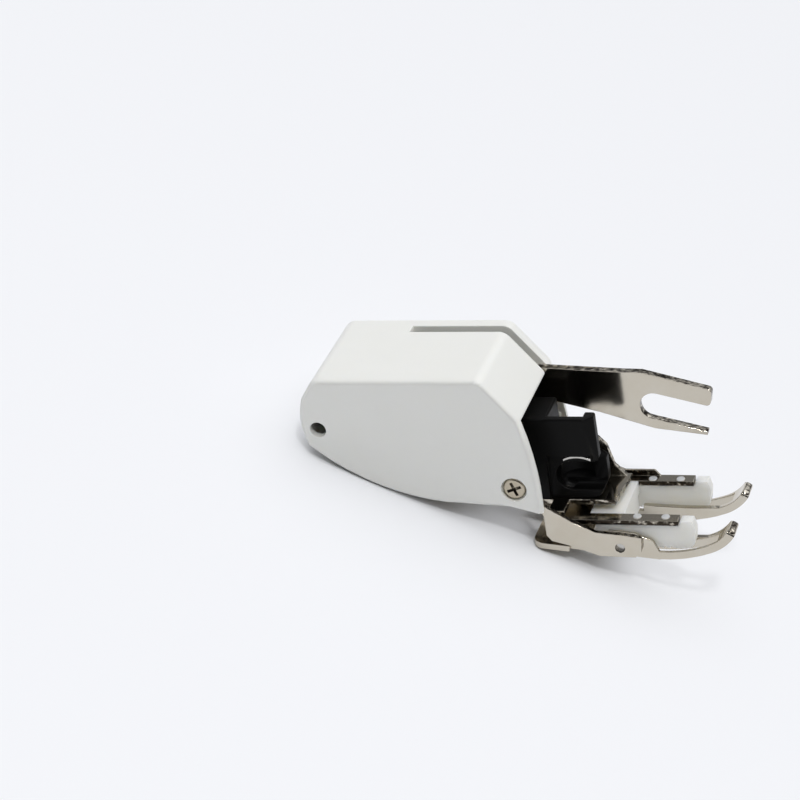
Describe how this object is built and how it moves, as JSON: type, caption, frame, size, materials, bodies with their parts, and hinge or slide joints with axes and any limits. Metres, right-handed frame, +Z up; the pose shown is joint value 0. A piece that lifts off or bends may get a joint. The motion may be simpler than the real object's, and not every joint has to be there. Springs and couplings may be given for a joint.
{
  "type": "even-feed presser foot",
  "caption": "Even-feed sewing machine presser foot: white hooded housing, forked needle-bar lever, black shank block, toothed nylon feed feet and a hinged slotted metal sole.",
  "frame": {"origin": "on the presser bar's axis, at the height of the clamp screw in the shank's notch", "axes": "+X forwards towards the toes, +Y to the operator's right (the lever's side), +Z up along the presser bar"},
  "size_m": [0.0727, 0.0228, 0.0359],
  "materials": {
    "housing_white": "injection-moulded ABS, warm white, fine satin skin",
    "nickel_plate": "bright nickel plating on pressed steel, warm tint",
    "bright_steel": "turned steel, bright",
    "spring_steel": "drawn spring wire",
    "shank_black": "moulded black acetal, satin",
    "feet_nylon": "natural nylon, milky white",
    "screw_nickel": "nickel-plated screw"
  },
  "bodies": {
    "frame": {"housing": "housing_white", "frame": "nickel_plate", "guide_posts": "bright_steel", "sole_pins": "bright_steel", "shank_bracket": "nickel_plate", "shank_block": "shank_black", "notch_liner": "bright_steel", "shank_rivets": "bright_steel", "pivot_pin": "bright_steel", "pivot_clip": "spring_steel", "pivot_sleeve": "feet_nylon", "lever_spring": "spring_steel", "lift_springs": "spring_steel", "housing_screws": "screw_nickel"},
    "lever": {"fork_lever": "nickel_plate", "lever_bush": "bright_steel", "crank_pin": "bright_steel", "crank_roller": "feet_nylon"},
    "lift_block": {"lift_block": "shank_black", "carriage_spring": "spring_steel"},
    "feed_carriage": {"feed_carrier": "nickel_plate", "feed_feet": "feet_nylon", "stop_pin": "bright_steel"},
    "sole": {"sole": "nickel_plate"}
  },
  "joints": [
    {"name": "lever_swing", "type": "hinge", "parent": "frame", "child": "lever", "pos_m": [-0.0335, 0, 0.0123], "axis": [0, -1, 0], "range_deg": [0, 34], "stiffness_Nm_per_rad": 0.02, "springref_deg": -28.65, "deforming": ["lever_spring"]},
    {"name": "feed_lift", "type": "slide", "parent": "frame", "child": "lift_block", "axis": [0, 0, 1], "range_m": [-0.00201, 0], "deforming": ["lift_springs"]},
    {"name": "feed_stroke", "type": "slide", "parent": "lift_block", "child": "feed_carriage", "axis": [1, 0, 0], "range_m": [-0.0035, 0], "stiffness_N_per_m": 200, "springref_m": 0.002, "deforming": ["carriage_spring"]},
    {"name": "sole_tilt", "type": "hinge", "parent": "frame", "child": "sole", "pos_m": [0.0084, 0, -0.01075], "axis": [0, -1, 0], "range_deg": [0, 12]}
  ],
  "couplings": [
    {"joint": "lever_swing", "follows": "feed_lift", "rad_per_m": -294.8}
  ]
}
